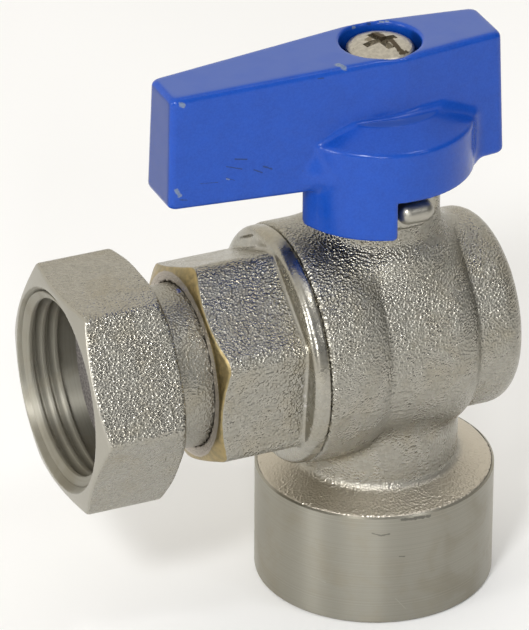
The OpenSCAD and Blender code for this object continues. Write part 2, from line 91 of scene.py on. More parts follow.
class ValveColours(bpy.types.PropertyGroup):
    """Base colours of the finishes."""
    nickel: colour("Nickel", "Plated forged brass", (0.36, 0.345, 0.30))
    turned: colour("Turned Nickel", "Plated turned brass", (0.34, 0.325, 0.275))
    brass: colour("Bare Brass", "Brass where the plating is turned away", (0.45, 0.345, 0.165))
    enamel: colour("Enamel", "Handle paint", (0.003, 0.055, 0.36))
    rubber: colour("Rubber", "Sealing rings", (0.02, 0.02, 0.02))
    seat: colour("Seat", "Low-friction seats and washer", (0.82, 0.81, 0.77))
    fibre: colour("Fibre", "Flat gasket", (0.17, 0.155, 0.145))
    screw: colour("Screw", "Handle screw and its washer", (0.46, 0.43, 0.37))


class ValveStage(bpy.types.PropertyGroup):
    """Light and floor."""
    key_power: bpy.props.FloatProperty(name="Key Power", description="Power of the main soft light", default=3.7,
                                       min=0.0, unit="POWER")
    fill_power: bpy.props.FloatProperty(name="Fill Power", description="Power of the fill light", default=0.4,
                                        min=0.0, unit="POWER")
    top_power: bpy.props.FloatProperty(name="Top Power", description="Power of the light overhead", default=0.8,
                                       min=0.0, unit="POWER")
    front_power: bpy.props.FloatProperty(name="Front Power", description="Power of the light beside the camera",
                                         default=1.25, min=0.0, unit="POWER")
    side_power: bpy.props.FloatProperty(name="Side Power", description="Power of the light on the union's side",
                                        default=1.8, min=0.0, unit="POWER")
    sky: bpy.props.FloatProperty(name="Sky", description="Strength of the even light behind the valve",
                                 default=1.0, min=0.0)
    front_sky: bpy.props.FloatProperty(name="Front Sky", description="Strength of the even light on the near side",
                                       default=0.38, min=0.0)


# ---------------------------------------------------------------- forms as distance fields, in millimetres

def soft_min(a, b, k):
    """Union of two forms with a fillet of about k."""
    h = np.maximum(k - np.abs(a - b), 0.0) / k
    return np.minimum(a, b) - h * h * k * 0.25


def soft_max(a, b, k):
    """Intersection of two forms with an edge rounded by about k."""
    return -soft_min(-a, -b, k)


def outline(u, r, points):
    """Signed distance to a closed outline of (u, r) points."""
    pts = np.array(points, float)
    best = np.full(u.shape, 1e9)
    sign = np.ones(u.shape)
    for i in range(len(pts)):
        (u0, r0), (u1, r1) = pts[i - 1], pts[i]
        eu, er = u1 - u0, r1 - r0
        wu, wr = u - u0, r - r0
        t = np.clip((wu * eu + wr * er) / max(eu * eu + er * er, 1e-12), 0, 1)
        best = np.minimum(best, (wu - eu * t) ** 2 + (wr - er * t) ** 2)
        crossing = (r >= r0) != (r >= r1)
        if r1 != r0:
            left = wu < eu * wr / er
            sign = np.where(crossing & left, -sign, sign)
    return sign * np.sqrt(best)


def soft_step(u0, r0, u1, r1, steps=10):
    """Points of a soft step of an outline from (u0, r0) to (u1, r1)."""
    return [(u0 + (u1 - u0) * i / steps, r0 + (r1 - r0) * (1 - math.cos(math.pi * i / steps)) / 2)
            for i in range(steps + 1)]


def bulge(u0, r0, u1, r1, steps=10, reach=0.92):
    """Points of a step that falls ever steeper from (u0, r0) to (u1, r1), where it ends in a crease."""
    fall = (r1 - r0) / (1 - math.sqrt(1 - reach * reach))
    shares = [reach * i / steps for i in range(steps + 1)]
    return [(u0 + (u1 - u0) * t / reach, r0 + fall * (1 - math.sqrt(1 - t * t))) for t in shares]


def round_corner(cu, cr, r, a, b, steps=8):
    """Points of an arc of an outline about (cu, cr), angles in degrees from the u axis."""
    return [(cu + r * math.cos(math.radians(a + (b - a) * i / steps)),
             cr + r * math.sin(math.radians(a + (b - a) * i / steps))) for i in range(steps + 1)]


def about_inlet(p):
    """Distance of points from the inlet axis."""
    return np.hypot(p[:, 1], p[:, 2] - AXIS_H)


def about_stem(p):
    """Distance of points from the stem axis."""
    return np.hypot(p[:, 0], p[:, 1])


def six_flats(p, af, turn, k):
    """Hexagon along the inlet axis, with its corners rounded by about k."""
    d = None
    for a in (turn, turn + 60, turn + 120):
        s, c = math.sin(math.radians(a)), math.cos(math.radians(a))
        one = np.abs(p[:, 1] * s - (p[:, 2] - AXIS_H) * c) - af / 2
        d = one if d is None else soft_max(d, one, k)
    return d


def forged_body(p):
    """The forged body as one solid lump, without its bores."""
    s = bpy.context.scene.valve_sizes
    x, z = p[:, 0], p[:, 2]
    rx, rz = about_inlet(p), about_stem(p)
    barrel = outline(x, rx, [(-13.8, -6), (-13.8, 16.3), (-13.5, 16.6)] + bulge(-9.6, 16.6, -4.6, 15.5)
                     + bulge(5.2, 15.5, 9.3, 13.7) + round_corner(13.3, 10.5, 3.2, 90, 0) + [(16.5, -6)])
    low = outline(z, rz, [(15.0, -6), (15.0, 16.2), (16.8, 16.2)] + round_corner(19.57, 12.8, 1.4, 200.5, 270)
                  + [(30.0, 11.4), (30.0, -6)])
    up = z - AXIS_H
    neck = outline(up, rz, [(0, -6), (0, 9.85), (13.6, 9.85)] + soft_step(13.6, 9.85, 16.6, 8.35)
                   + [(27.4, 8.35), (27.8, 7.95), (27.8, -6)])
    f = soft_min(barrel, low, s.saddle / MM)
    f = soft_min(f, neck, s.neck_saddle / MM)
    side = np.abs(p[:, 1])
    across = np.maximum(np.abs(x - LUG_X) - 1.05, 0.0)
    lug = np.hypot(np.hypot(across, up - LUG_Z), np.maximum(side - 10.45, 0.0)) - 1.55
    pad = soft_max(np.hypot(across, up - LUG_Z) - 3.2, side - 9.0, 0.4)
    f = soft_min(f, pad, 0.5)
    return soft_min(f, lug, 0.4)


def connector_form(p):
    """The end connector with its hexagon, flange, plug and bores."""
    s = bpy.context.scene.valve_sizes
    x, r = p[:, 0], about_inlet(p)
    c30, s30 = math.cos(math.radians(30)), math.sin(math.radians(30))
    hexagon = six_flats(p, 26.6, 36, 1.3)
    hexagon = soft_max(hexagon, -c30 * (x + 28.7) + s30 * (r - 12.9), 0.22)
    hexagon = np.maximum(hexagon, x + 15.0)
    hexagon = soft_max(hexagon, -28.7 - x, 0.2)
    flange = outline(x, r, [(-16.2, -6), (-16.2, 15.2)] + round_corner(-15.0, 15.2, 1.2, 180, 90)
                     + [(-14.1, 16.4), (-13.8, 16.1), (-13.8, -6)])
    turn = math.radians(150)
    ly, lx = p[:, 1], -(p[:, 2] - AXIS_H)
    along = lx * math.cos(turn) + ly * math.sin(turn)
    across = -lx * math.sin(turn) + ly * math.cos(turn)
    scallop = np.maximum(np.hypot(across, x + 16.2 + 20 - 0.4) - 20, np.abs(along - 14.25) - 0.8)
    flange = soft_max(flange, -scallop, 0.3)
    plug = outline(x, r, [(-15, -6), (-15, 13.4), (-7.2, 13.4), (-7.2, -6)])
    f = np.minimum(soft_min(hexagon, flange, 0.5), plug)
    bores = outline(x, r, [(-30, -6), (-30, 11.25), (-22.2, 11.25), (-22.2, 7.5), (-11.4, 7.5), (-11.4, 10.45),
                           (-6, 10.45), (-6, -6)])
    return soft_max(f, -bores, 0.2)


def nut_form(p):
    """The union nut: hexagon, end cones, countersink, bore and relief."""
    x, r = p[:, 0], about_inlet(p)
    c17, s17 = math.cos(math.radians(17)), math.sin(math.radians(17))
    c30, s30 = math.cos(math.radians(30)), math.sin(math.radians(30))
    f = six_flats(p, 30, 0, 0.7)
    f = soft_max(f, -c17 * (x + 46.9) + s17 * (r - 14.3), 0.35)
    f = soft_max(f, c30 * (x + 34.4) + s30 * (r - 15.3), 0.35)
    f = soft_max(f, -46.9 - x, 0.15)
    f = soft_max(f, x + 34.4, 0.3)
    bore = outline(x, r, [(-48, -6), (-48, 14.59), (-45.5, 13.22), (-41.3, 13.22), (-41.3, 13.57),
                          (-36.3, 13.57), (-36.3, 11.3), (-33, 11.3), (-33, -6)])
    return soft_max(f, -bore, 0.15)


def handle_form(p):
    """The wing handle with its hub, stop tab and recess."""
    s = bpy.context.scene.valve_sizes
    x, y, z = p[:, 0], np.abs(p[:, 1]), p[:, 2] - AXIS_H
    r = about_stem(p)
    top, low, edge, tilt = 42.98, 24.9, 1.0, 0.0088
    up = z + tilt * (x - 10.0)
    down = (top - up) / (top - low)
    left = np.clip((-1.0 - x) / 29.6, 0.0, 1.2)
    right = np.clip((x - 1.0) / 14.0, 0.0, 1.2)
    half = 6.1 - left * (6.1 - 3.65) - right * (6.1 - 4.35) + 0.55 * down
    side = (y - half) * 0.996
    ceiling = np.maximum(up - (top - 1.5 * left), z - top)
    floor = (low + 0.4 * left) - up
    ends = soft_max(-31.5 - 0.55 * down - x, x - 15.9 - 0.55 * down, 0.2)
    wing = soft_max(soft_max(side, ends, edge), soft_max(ceiling, floor, 0.2), edge)
    hub = outline(z, r, [(24.9, -6), (24.9, 12.8), (31.6, 12.8)] + round_corner(31.6, 12.0, 0.8, 90, 32)
                  + round_corner(33.8, 8.6, 0.6, 32, 0) + [(34.4, -6)])
    soft = np.clip((1.0 - x) / 7.0, 0.0, 1.0) * np.clip((32.0 - z) / 5.2, 0.0, 1.0)
    soft = soft * np.clip((z - low) / 2.6, 0.0, 1.0)
    soft = soft * soft * (3 - 2 * soft)
    crease = s.crease_fillet * np.clip((x + 6.0) / 9.0, 0.35, 1.0)
    fillet = (crease + (s.hub_fillet - crease) * soft) / MM
    f = soft_min(wing, hub, fillet)
    a0, a1 = math.radians(192.4), math.radians(257.4)
    px, py = p[:, 0], p[:, 1]
    sector = soft_max(px * math.sin(a0) - py * math.cos(a0), -px * math.sin(a1) + py * math.cos(a1), 0.2)
    shell = soft_max(soft_max(r - 12.8, 10.0 - r, 0.3), z - 30, 0.3)
    tab = soft_max(shell, soft_max(sector, 19.35 - z, 0.7), 0.4)
    f = np.minimum(f, tab)
    hollow = np.maximum(r - 10.0, z - 29.9)
    f = soft_max(f, -hollow, 0.3)
    square = np.maximum(np.maximum(np.abs(px), y) - 3.15, z - 39)
    f = np.maximum(f, -square)
    recess = np.maximum(r - 5.5, 38.4 - z)
    return soft_max(f, -recess, 0.45)


def surface(field, low, high, cell):
    """Points and four-sided faces of the surface where a field is zero, inside a box."""
    low, high = np.array(low, float), np.array(high, float)
    count = np.ceil((high - low) / cell).astype(int) + 1
    steps = [low[k] + cell * np.arange(count[k]) for k in range(3)]
    values = np.empty(count)
    yz = np.stack(np.meshgrid(steps[1], steps[2], indexing="ij"), -1).reshape(-1, 2)
    for i, at in enumerate(steps[0]):
        slab = np.column_stack([np.full(len(yz), at), yz])
        values[i] = field(slab).reshape(count[1:])
    total, hits = np.zeros((*(count - 1), 3)), np.zeros(count - 1)
    edges = []
    for a in range(3):
        b, c = (a + 1) % 3, (a + 2) % 3
        s0, s1 = [slice(None)] * 3, [slice(None)] * 3
        s0[a], s1[a] = slice(0, -1), slice(1, None)
        f0, f1 = values[tuple(s0)], values[tuple(s1)]
        cross = (f0 < 0) != (f1 < 0)
        i = np.argwhere(cross)
        point = low + cell * i
        point[:, a] += cell * f0[cross] / (f0[cross] - f1[cross])
        for db in (0, 1):
            for dc in (0, 1):
                j = i.copy()
                j[:, b] -= db
                j[:, c] -= dc
                ok = ((j >= 0) & (j < count - 1)).all(1)
                np.add.at(total, tuple(j[ok].T), point[ok])
                np.add.at(hits, tuple(j[ok].T), 1)
        inner = (i[:, b] > 0) & (i[:, c] > 0) & (i[:, b] < count[b] - 1) & (i[:, c] < count[c] - 1)
        edges.append((i[inner], (f0[cross] < 0)[inner], b, c))
    index = np.full(count - 1, -1)
    used = hits > 0
    index[used] = np.arange(used.sum())
    points = total[used] / hits[used][:, None]
    faces = []
    for i, outward, b, c in edges:
        eb, ec = np.eye(3, dtype=int)[b], np.eye(3, dtype=int)[c]
        quad = np.stack([index[tuple((i - eb - ec).T)], index[tuple((i - ec).T)], index[tuple(i.T)],
                         index[tuple((i - eb).T)]], 1)
        faces.append(np.where(outward[:, None], quad, quad[:, ::-1]))
    faces = np.concatenate(faces)
    return settle(field, points, faces, cell), faces


def slope(field, points, step=0.02):
    """Value and gradient of a field."""
    value = field(points)
    grad = np.empty_like(points)
    for k in range(3):
        moved = points.copy()
        moved[:, k] += step
        grad[:, k] = (field(moved) - value) / step
    return value, grad


def settle(field, points, faces, cell, rounds=3):
    """Evens the points out along the surface and puts them exactly on it."""
    start = points.copy()
    for turn in range(rounds):
        if turn < rounds - 1:
            near, number = np.zeros_like(points), np.zeros(len(points))
            for k in range(4):
                for m in (1, 3):
                    np.add.at(near, faces[:, k], points[faces[:, (k + m) % 4]])
                    np.add.at(number, faces[:, k], 1)
            number = np.maximum(number, 1)
            value, grad = slope(field, points)
            unit = grad / np.maximum(np.linalg.norm(grad, axis=1), 1e-6)[:, None]
            drift = near / number[:, None] - points
            drift -= (drift * unit).sum(1)[:, None] * unit
            points = points + 0.5 * drift
        for _ in range(2):
            value, grad = slope(field, points)
            move = -value[:, None] * grad / np.maximum((grad ** 2).sum(1), 0.05)[:, None]
            reach = np.linalg.norm(move, axis=1)
            move *= np.minimum(1.0, 0.4 * cell / np.maximum(reach, 1e-9))[:, None]
            points = points + move
    away = points - start
    reach = np.linalg.norm(away, axis=1)
    return start + away * np.minimum(1.0, 1.2 * cell / np.maximum(reach, 1e-9))[:, None]


# ---------------------------------------------------------------- meshes

def piece(name, points_mm, faces, body, materials, replaces=()):
    """A smooth mesh piece from points in millimetres, riding on a body."""
    mesh = bpy.data.meshes.new(name)
    mesh.from_pydata((np.asarray(points_mm) * MM).tolist(), [], np.asarray(faces).tolist())
    mesh.update()
    mesh.shade_smooth()
    obj = bpy.data.objects.new(name, mesh)
    bpy.context.scene.collection.objects.link(obj)
    return finish_piece(obj, body, materials, replaces)


def finish_piece(obj, body, materials, replaces=()):
    """Materials and body of a finished piece; hides the solids it replaces."""
    for m in materials:
        obj.data.materials.append(m)
    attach(obj, body)
    if replaces:
        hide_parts(*replaces)
    return obj


def dress(node, *materials):
    """Gives a solid of the frame its finish."""
    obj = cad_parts[node]
    obj.data.materials.clear()
    for m in materials:
        obj.data.materials.append(m)


def merged_copy(node):
    """Corner points in millimetres and three-sided faces of a solid of the frame, with doubles merged."""
    bm = bmesh.new()
    bm.from_mesh(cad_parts[node].data)
    bmesh.ops.remove_doubles(bm, verts=bm.verts, dist=1e-6)
    bm.verts.ensure_lookup_table()
    points = np.array([v.co for v in bm.verts]) / MM
    faces = [[v.index for v in f.verts] for f in bm.faces]
    bm.free()
    return points, faces


# ---------------------------------------------------------------- shader building

def add(tree, kind, inputs=None, **settings):
    """A node with its inputs set or linked."""
    node = tree.nodes.new(kind)
    for k, v in settings.items():
        setattr(node, k, v)
    for k, v in (inputs or {}).items():
        if isinstance(v, bpy.types.NodeSocket):
            tree.links.new(v, node.inputs[k])
        else:
            node.inputs[k].default_value = v
    return node


def calc(tree, operation, a, b=None, c=None, clamp=False):
    """A math node's result."""
    given = {i: v for i, v in enumerate((a, b, c)) if v is not None}
    return add(tree, "ShaderNodeMath", given, operation=operation, use_clamp=clamp).outputs[0]


def vec(tree, operation, a, b=None, scale=None, out=0):
    """A vector math node's result."""
    given = {i: v for i, v in enumerate((a, b)) if v is not None}
    if scale is not None:
        given["Scale"] = scale
    return add(tree, "ShaderNodeVectorMath", given, operation=operation).outputs[out]


def ramp(tree, value, low, high, to_low=0.0, to_high=1.0, smooth=True):
    """A value mapped from one range to another, held at the ends."""
    kind = "SMOOTHSTEP" if smooth else "LINEAR"
    node = add(tree, "ShaderNodeMapRange", {"Value": value, "From Min": low, "From Max": high, "To Min": to_low,
                                            "To Max": to_high}, interpolation_type=kind)
    return node.outputs["Result"]


def mix(tree, factor, a, b, blend="MIX"):
    """Two colours mixed."""
    def four(v):
        return v if isinstance(v, bpy.types.NodeSocket) else (*v, 1.0)[:4]
    node = add(tree, "ShaderNodeMix", {0: factor, 6: four(a), 7: four(b)}, data_type="RGBA", blend_type=blend)
    return node.outputs[2]


def noise(tree, vector, size_mm, detail=2.0, rough=0.5, out="Fac"):
    """Noise with features of a size in millimetres."""
    return add(tree, "ShaderNodeTexNoise", {"Vector": vector, "Scale": 1 / (size_mm * MM), "Detail": detail,
                                            "Roughness": rough}).outputs[out]


def new_group(name, ins, outs):
    """A shader group with named sockets."""
    tree = bpy.data.node_groups.new(name, "ShaderNodeTree")
    for socket, kind, default in ins:
        made = tree.interface.new_socket(socket, in_out="INPUT", socket_type=kind)
        if default is not None:
            made.default_value = default
    for socket, kind in outs:
        tree.interface.new_socket(socket, in_out="OUTPUT", socket_type=kind)
    return tree, tree.nodes.new("NodeGroupInput").outputs, tree.nodes.new("NodeGroupOutput").inputs


F, V, C = "NodeSocketFloat", "NodeSocketVector", "NodeSocketColor"


def group_mark():
    """A chip, speck or scratch between two points, with a ragged edge."""
    t, i, o = new_group("Surface Mark", [("Vector", V, None), ("From", V, None), ("To", V, None),
                                         ("Width", F, 0.0003), ("Ragged", F, 0.0002)], [("Mask", F)])
    at = vec(t, "SUBTRACT", i["Vector"], i["From"])
    run = vec(t, "SUBTRACT", i["To"], i["From"])
    share = calc(t, "DIVIDE", vec(t, "DOT_PRODUCT", at, run, out=1), vec(t, "DOT_PRODUCT", run, run, out=1),
                 clamp=True)
    away = vec(t, "LENGTH", vec(t, "SUBTRACT", at, vec(t, "SCALE", run, scale=share)), out=1)
    rough = calc(t, "MULTIPLY", calc(t, "SUBTRACT", noise(t, i["Vector"], 0.45, 3.0), 0.5), i["Ragged"])
    away = calc(t, "ADD", away, calc(t, "MULTIPLY", rough, 2.0))
    t.links.new(ramp(t, away, calc(t, "MULTIPLY", i["Width"], 0.6), i["Width"], 1.0, 0.0), o["Mask"])
    return t


def group_blast():
    """Bead-blasted plating: round dimples over soft unevenness, as a height, with a tone for each dimple."""
    t, i, o = new_group("Blasted Plating", [("Vector", V, None), ("Grain", F, 0.0003), ("Coarse", F, 0.5)],
                        [("Height", F), ("Tone", F), ("Patch", F)])
    scale = calc(t, "DIVIDE", 1.0, i["Grain"])
    cells = add(t, "ShaderNodeTexVoronoi", {"Vector": i["Vector"], "Scale": scale})
    dimple = calc(t, "POWER", cells.outputs["Distance"], 2.0)
    blob = add(t, "ShaderNodeTexNoise", {"Vector": i["Vector"], "Scale": calc(t, "MULTIPLY", scale, 0.45),
                                         "Detail": 2.0, "Roughness": 0.6}).outputs["Fac"]
    t.links.new(calc(t, "ADD", dimple, calc(t, "MULTIPLY", blob, i["Coarse"])), o["Height"])
    chance = add(t, "ShaderNodeSeparateXYZ", {0: cells.outputs["Color"]}).outputs[0]
    t.links.new(ramp(t, chance, 0.0, 1.0, 0.84, 1.16, smooth=False), o["Tone"])
    t.links.new(ramp(t, noise(t, i["Vector"], 2.5, 3.0), 0.3, 0.7, 0.0, 1.0), o["Patch"])
    return t


def group_lathe():
    """Fine lines left by turning, as a height and a tone that change along one coordinate."""
    t, i, o = new_group("Lathe Lines", [("Along", F, 0.0), ("Vector", V, None), ("Line", F, 0.00022)],
                        [("Height", F), ("Tone", F)])
    lines = add(t, "ShaderNodeTexNoise", {"W": calc(t, "DIVIDE", i["Along"], i["Line"]), "Scale": 1.0, "Detail": 3.0,
                                          "Roughness": 0.7}, noise_dimensions="1D").outputs["Fac"]
    patch = noise(t, i["Vector"], 6.0, 2.0)
    t.links.new(calc(t, "MULTIPLY", lines, ramp(t, patch, 0.25, 0.75, 0.6, 1.0)), o["Height"])
    t.links.new(ramp(t, lines, 0.25, 0.75, 0.86, 1.12, smooth=False), o["Tone"])
    return t


def group_stain():
    """Soft stains and handling marks, as two masks."""
    t, i, o = new_group("Handling Stains", [("Vector", V, None), ("Size", F, 0.006)], [("Stain", F), ("Specks", F)])
    big = add(t, "ShaderNodeTexNoise", {"Vector": i["Vector"], "Scale": calc(t, "DIVIDE", 1.0, i["Size"]),
                                        "Detail": 4.0, "Roughness": 0.6, "Distortion": 0.6}).outputs["Fac"]
    t.links.new(ramp(t, big, 0.42, 0.72), o["Stain"])
    fine = noise(t, i["Vector"], 0.8, 3.0, 0.6)
    t.links.new(ramp(t, fine, 0.70, 0.78), o["Specks"])
    return t


GROUPS = {}


def use(tree, name, **inputs):
    """Places a shader group in a material."""
    node = tree.nodes.new("ShaderNodeGroup")
    node.node_tree = GROUPS[name]
    for k, v in inputs.items():
        key = k.replace("_", " ").title()
        if isinstance(v, bpy.types.NodeSocket):
            tree.links.new(v, node.inputs[key])
        else:
            node.inputs[key].default_value = v
    return node.outputs


def material(name):
    """An empty material: its tree, its shader and the object coordinates."""
    m = bpy.data.materials.new(name)
    m.use_nodes = True
    t = m.node_tree
    t.nodes.clear()
    out = t.nodes.new("ShaderNodeOutputMaterial")
    shader = t.nodes.new("ShaderNodeBsdfPrincipled")
    t.links.new(shader.outputs[0], out.inputs["Surface"])
    place = t.nodes.new("ShaderNodeTexCoord").outputs["Object"]
    return m, t, shader, place


def marks(tree, place, listed):
    """One mask from a list of marks: from, to, width and raggedness in millimetres."""
    total = None
    for a, b, width, ragged in listed:
        one = use(tree, "mark", vector=place, **{"from": [v * MM for v in a], "to": [v * MM for v in b]},
                  width=width * MM, ragged=ragged * MM)["Mask"]
        total = one if total is None else calc(tree, "MAXIMUM", total, one)
    return total


def inlet_radius(tree, place):
    """Distance from the inlet axis."""
    away = vec(tree, "MULTIPLY", vec(tree, "SUBTRACT", place, (0.0, 0.0, AXIS_H * MM)), (0.0, 1.0, 1.0))
    return vec(tree, "LENGTH", away, out=1)


def past_cone(tree, place, x_mm, r_mm, degrees, from_mm, to_mm, wavy_mm=0.0):
    """Mask of what lies past a cone about the inlet axis, given by one point and its angle."""
    x = add(tree, "ShaderNodeSeparateXYZ", {0: place}).outputs[0]
    r = inlet_radius(tree, place)
    outward = calc(tree, "MULTIPLY", calc(tree, "SUBTRACT", r, r_mm * MM), math.sin(math.radians(degrees)))
    past = calc(tree, "MULTIPLY_ADD", calc(tree, "SUBTRACT", x, x_mm * MM), -math.cos(math.radians(degrees)), outward)
    if wavy_mm:
        wave = calc(tree, "SUBTRACT", noise(tree, place, 1.2, 3.0), 0.5)
        past = calc(tree, "MULTIPLY_ADD", wave, wavy_mm * MM, past)
    return ramp(tree, past, from_mm * MM, to_mm * MM)


def near_lugs(tree, place):
    """Mask of the smooth skin on the two stop lugs."""
    mirrored = vec(tree, "ABSOLUTE", vec(tree, "SUBTRACT", place, (LUG_X * MM, 0.0, (AXIS_H + LUG_Z) * MM)))
    away = vec(tree, "DISTANCE", mirrored, (0.0, 0.0105, 0.0), out=1)
    return ramp(tree, away, 0.0028, 0.0042, 1.0, 0.0)


def patch(tree, shader, mask, colour_rgb, rough):
    """Lays another colour and roughness over what a shader has."""
    base = shader.inputs["Base Color"].links[0].from_socket
    tree.links.new(mix(tree, mask, base, colour_rgb), shader.inputs["Base Color"])
    old = shader.inputs["Roughness"].links[0].from_socket
    new = add(tree, "ShaderNodeMix", {0: mask, 2: old, 3: rough}).outputs[0]
    tree.links.new(new, shader.inputs["Roughness"])


def nickel_blasted(name, colour_rgb, relief_mm=0.135, rough=0.27, grain_mm=0.34, calm=None):
    """Nickel plating over a bead-blasted forging, with less relief where a mask says so."""
    m, t, s, place = material(name)
    blast = use(t, "blast", vector=place, grain=grain_mm * MM, coarse=0.15)
    stain = use(t, "stain", vector=place)
    warm = tuple(c * k for c, k in zip(colour_rgb, (0.90, 0.84, 0.72)))
    base = mix(t, calc(t, "MULTIPLY", stain["Stain"], 0.5), colour_rgb, warm)
    tone = add(t, "ShaderNodeCombineColor", {0: blast["Tone"], 1: blast["Tone"], 2: blast["Tone"]}).outputs[0]
    base = mix(t, 0.5, base, mix(t, 1.0, base, tone, "MULTIPLY"))
    base = mix(t, calc(t, "MULTIPLY", stain["Specks"], 0.4), base, (0.14, 0.115, 0.08))
    t.links.new(base, s.inputs["Base Color"])
    s.inputs["Metallic"].default_value = 1.0
    t.links.new(ramp(t, blast["Patch"], 0, 1, rough - 0.04, rough + 0.06), s.inputs["Roughness"])
    bump = add(t, "ShaderNodeBump", {"Height": blast["Height"], "Strength": 1.0, "Distance": relief_mm * MM})
    if calm:
        t.links.new(calc(t, "MULTIPLY_ADD", calm(t, place), -0.88, 1.0), bump.inputs["Strength"])
    t.links.new(bump.outputs[0], s.inputs["Normal"])
    return t, s, place


def body_finish(colour_rgb):
    """The body: blasted all over, finer towards the foot and nearly smooth on the stop lugs, with painted light on
    the shoulder above the collar.
    """
    def calm(tree, place):
        up = add(tree, "ShaderNodeSeparateXYZ", {0: place}).outputs[2]
        return calc(tree, "MAXIMUM", near_lugs(tree, place), ramp(tree, up, 0.019, 0.034, 0.45, 0.0))
    t, s, place = nickel_blasted("Forged Nickel", colour_rgb, relief_mm=0.15, rough=0.28, grain_mm=0.33, calm=calm)
    patch(t, s, near_lugs(t, place), tuple(1.05 * v for v in colour_rgb), 0.38)
    up = add(t, "ShaderNodeSeparateXYZ", {0: place}).outputs[2]
    # Painted reflection: the shoulder above the collar is painted paler and warmer, in place of the light it would
    # take from the barrel's underside.
    shoulder_painted_light = tuple(v * k for v, k in zip(colour_rgb, (1.55, 1.48, 1.42)))
    patch(t, s, ramp(t, up, 0.0178, 0.0195, 1.0, 0.0), shoulder_painted_light, 0.40)


def nut_finish(colour_rgb):
    """The union nut: coarse blasted flats and a smooth turned cone at its mouth."""
    def turned(tree, place):
        return past_cone(tree, place, -46.9, 14.3, 17, -0.20, -0.08)
    t, s, place = nickel_blasted("Nut Nickel", colour_rgb, relief_mm=0.13, rough=0.25, grain_mm=0.35, calm=turned)
    patch(t, s, turned(t, place), tuple(1.08 * v for v in colour_rgb), 0.34)


def connector_finish(colour_rgb, brass_rgb):
    """The connector: blasted flats, a smooth flange, a cone cut down to the brass and a pale dusty end face with a
    dark line at the tailpiece joint, dirt with painted shade.
    """
    def smooth(tree, place):
        along = add(tree, "ShaderNodeSeparateXYZ", {0: place}).outputs[0]
        rim = ramp(tree, along, -0.0170, -0.0165)
        cone = past_cone(tree, place, -28.7, 12.9, 30, -0.25, -0.15)
        return calc(tree, "MAXIMUM", rim, cone)
    t, s, place = nickel_blasted("Connector Nickel", colour_rgb, rough=0.26, calm=smooth)
    x = add(t, "ShaderNodeSeparateXYZ", {0: place}).outputs[0]
    r = inlet_radius(t, place)
    face = ramp(t, x, -0.02865, -0.02855, 1.0, 0.0)
    patch(t, s, face, (0.56, 0.51, 0.45), 0.5)
    # Dark brown broken line on the end face at the tailpiece joint: dirt in the joint together with painted shade of
    # the crack.
    blot = ramp(t, noise(t, place, 1.1, 4.0, 0.7), 0.42, 0.56)
    joint_dirt_and_shade = calc(t, "MULTIPLY", ramp(t, r, 0.01138, 0.01172, 1.0, 0.0), blot)
    patch(t, s, calc(t, "MULTIPLY", joint_dirt_and_shade, face), (0.05, 0.035, 0.025), 0.7)
    dull = tuple(v * k for v, k in zip(brass_rgb, (0.62, 0.66, 0.70)))
    brass = mix(t, ramp(t, noise(t, place, 0.9, 3.0), 0.35, 0.65), dull, tuple(0.86 * v for v in brass_rgb))
    patch(t, s, past_cone(t, place, -28.7, 12.9, 30, -0.15, -0.07, 0.12), brass, 0.38)
    patch(t, s, marks(t, place, BLEMISHES), (0.55, 0.53, 0.50), 0.5)


def tail_finish(colour_rgb):
    """The tailpiece: dull fine-grained plating with a speck of blue paint."""
    t, s, place = nickel_blasted("Tail Nickel", colour_rgb, relief_mm=0.085, rough=0.30, grain_mm=0.33)
    patch(t, s, marks(t, place, [((-29.0, 0.5, 48.9), (-29.0, -0.1, 48.95), 0.35, 0.4)]), (0.16, 0.20, 0.50), 0.5)


def nickel_turned(name, colour_rgb, axis=2, rough=0.24, strength=0.25, scratched=(), nicked=()):
    """Nickel plating over turned brass, with lines round the axis it was turned about."""
    m, t, s, place = material(name)
    along = add(t, "ShaderNodeSeparateXYZ", {0: place}).outputs[axis]
    lathe = use(t, "lathe", along=along, vector=place)
    stain = use(t, "stain", vector=place)
    base = mix(t, calc(t, "MULTIPLY", stain["Stain"], 0.3), colour_rgb,
               tuple(c * k for c, k in zip(colour_rgb, (0.9, 0.82, 0.68))))
    tone = add(t, "ShaderNodeCombineColor", {0: lathe["Tone"], 1: lathe["Tone"], 2: lathe["Tone"]}).outputs[0]
    base = mix(t, 0.6, base, mix(t, 1.0, base, tone, "MULTIPLY"))
    t.links.new(base, s.inputs["Base Color"])
    s.inputs["Metallic"].default_value = 1.0
    t.links.new(ramp(t, stain["Stain"], 0, 1, rough, rough + 0.06), s.inputs["Roughness"])
    if scratched:
        patch(t, s, marks(t, place, scratched), tuple(1.2 * v for v in colour_rgb), 0.5)
    if nicked:
        patch(t, s, marks(t, place, nicked), tuple(0.6 * v for v in colour_rgb), 0.5)
    s.inputs["Anisotropic"].default_value = 0.85
    s.inputs["Anisotropic Rotation"].default_value = 0.25
    tangent = add(t, "ShaderNodeTangent", direction_type="RADIAL", axis="XYZ"[axis])
    t.links.new(tangent.outputs[0], s.inputs["Tangent"])
    bump = add(t, "ShaderNodeBump", {"Height": lathe["Height"], "Strength": strength, "Distance": 0.00004})
    t.links.new(bump.outputs[0], s.inputs["Normal"])
    return m


